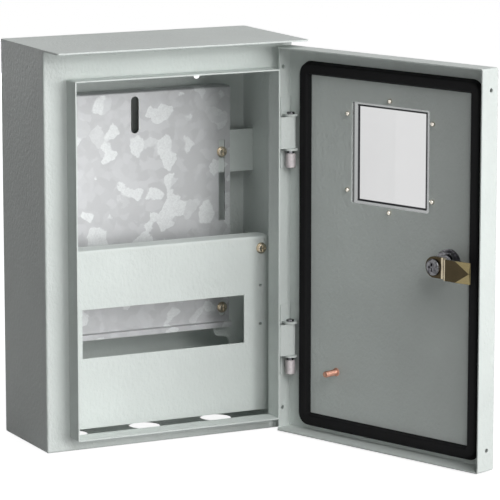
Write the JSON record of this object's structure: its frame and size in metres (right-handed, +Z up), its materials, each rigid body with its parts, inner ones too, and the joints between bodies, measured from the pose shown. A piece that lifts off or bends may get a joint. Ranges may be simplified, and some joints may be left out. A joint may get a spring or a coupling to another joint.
{
  "type": "electrical enclosure",
  "caption": "Wall-mounted sheet-metal electrical meter enclosure with rain roof, hinged gasketed door with clear window, cam lock, slotted meter plate, mounting rail and cover panel.",
  "frame": {"origin": "centre of the four wall holes, on the outer face of the back wall", "axes": "+X to the right seen from the front, +Y out of the back wall toward the wall behind it, +Z up"},
  "size_m": [0.3295, 0.3467, 0.3699],
  "materials": {
    "paint": "light grey textured powder coat",
    "zinc_plate": "galvanised, spangled",
    "yellow_zinc": "yellow zinc plated",
    "copper": "copper coated",
    "foam": "matt foam",
    "clear": "clear pressed polycarbonate",
    "chrome": "bright plated",
    "dark_zinc": "dark yellow passivated",
    "bush_zinc": "matt zinc"
  },
  "bodies": {
    "enclosure": {"casing": "paint", "rain_roof": "paint", "upper_crossbar": "paint", "lower_crossbar": "paint", "meter_plate": "zinc_plate", "plate_screws": "yellow_zinc", "plate_washers": "yellow_zinc", "din_rail": "zinc_plate", "rail_brackets": "paint", "rail_screws": "yellow_zinc", "rail_washers": "yellow_zinc", "cover_panel": "paint", "cover_brackets": "paint", "cover_screws": "yellow_zinc", "cover_washers": "yellow_zinc", "ground_stud": "copper", "hinge_leaf_upper": "paint", "hinge_leaf_lower": "paint"},
    "door": {"door_pan": "paint", "door_gasket": "foam", "window_pane": "clear", "window_screws": "yellow_zinc", "window_nuts": "yellow_zinc", "hinge_bracket_upper": "paint", "hinge_bracket_lower": "paint", "hinge_pin_upper": "chrome", "hinge_pin_lower": "chrome", "hinge_bush_upper": "bush_zinc", "hinge_bush_lower": "bush_zinc", "door_stud": "copper", "lock_body": "chrome", "lock_nut": "chrome", "lock_washer": "chrome"},
    "cam": {"lock_plug": "chrome", "lock_cam": "dark_zinc", "cam_screw": "chrome"}
  },
  "joints": [
    {"name": "door_hinge", "type": "hinge", "parent": "enclosure", "child": "door", "pos_m": [0.11565, -0.1159, 0], "axis": [0, 0, 1], "range_deg": [-109.8, 10.2], "deforming": ["door_gasket"]},
    {"name": "cam_turn", "type": "hinge", "parent": "door", "child": "cam", "pos_m": [0.18591, -0.28951, -0.00243], "axis": [-0.9409, -0.3387, 0], "range_deg": [0, 90]}
  ]
}
